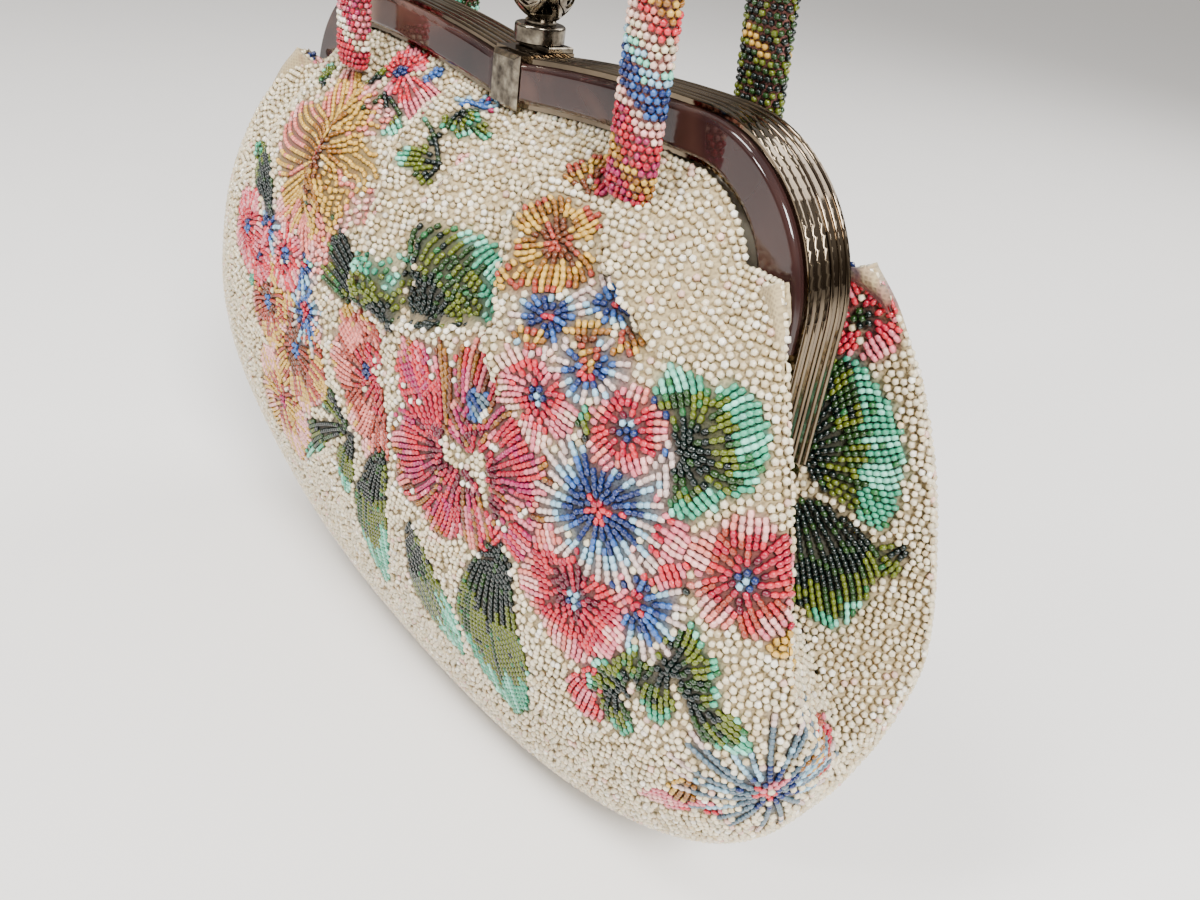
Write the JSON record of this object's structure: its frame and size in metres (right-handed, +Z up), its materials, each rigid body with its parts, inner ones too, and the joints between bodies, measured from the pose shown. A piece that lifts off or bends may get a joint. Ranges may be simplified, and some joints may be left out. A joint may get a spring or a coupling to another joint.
{
  "type": "beaded evening handbag",
  "caption": "Gathered beaded handbag on a hinged metal frame with resin inlays, a turn-lock knob and two padded strap handles.",
  "frame": {"origin": "middle of the bag's underside, on the surface it stands on", "axes": "+Z up, -Y towards the front face, X along the frame"},
  "size_m": [0.2556, 0.0862, 0.3027],
  "materials": {
    "frame_metal": "polished smoked nickel plating",
    "clasp_metal": "polished antique plating on cast brass",
    "lock_steel": "plain steel",
    "inlay_resin": "polished smoky brown resin",
    "paper_cord": "twisted paper cord",
    "beaded_cloth": "cotton ground closely sewn with small glass beads",
    "beaded_strap": "padded cloth strap sewn with small glass beads",
    "satin_lining": "ivory satin"
  },
  "bodies": {
    "bag": {"front_frame": "frame_metal", "front_left_inlay": "inlay_resin", "front_right_inlay": "inlay_resin", "front_channel_cord": "paper_cord", "clasp_bar": "clasp_metal", "keeper_post": "lock_steel", "left_hinge_pin": "frame_metal", "right_hinge_pin": "frame_metal", "left_hinge_washer": "frame_metal", "right_hinge_washer": "frame_metal", "front_cloth": "beaded_cloth", "rear_cloth": "beaded_cloth", "front_lining": "satin_lining", "rear_lining": "satin_lining", "front_handle": "beaded_strap"},
    "rear_half": {"rear_frame": "frame_metal", "rear_left_inlay": "inlay_resin", "rear_right_inlay": "inlay_resin", "rear_channel_cord": "paper_cord", "clasp_plate": "clasp_metal", "clasp_collar": "clasp_metal", "rear_handle": "beaded_strap"},
    "lock": {"clasp_knob": "clasp_metal", "lock_cam": "lock_steel", "cam_washer": "lock_steel"}
  },
  "joints": [
    {"name": "frame_hinge", "type": "hinge", "parent": "bag", "child": "rear_half", "pos_m": [0, 0, 0.114], "axis": [-1, 0, 0], "range_deg": [0, 60], "deforming": ["rear_cloth", "front_lining", "rear_lining"]},
    {"name": "knob_turn", "type": "hinge", "parent": "rear_half", "child": "lock", "pos_m": [0, 0.0008, 0.181], "axis": [0, 0, 1], "range_deg": [0, 90]}
  ]
}
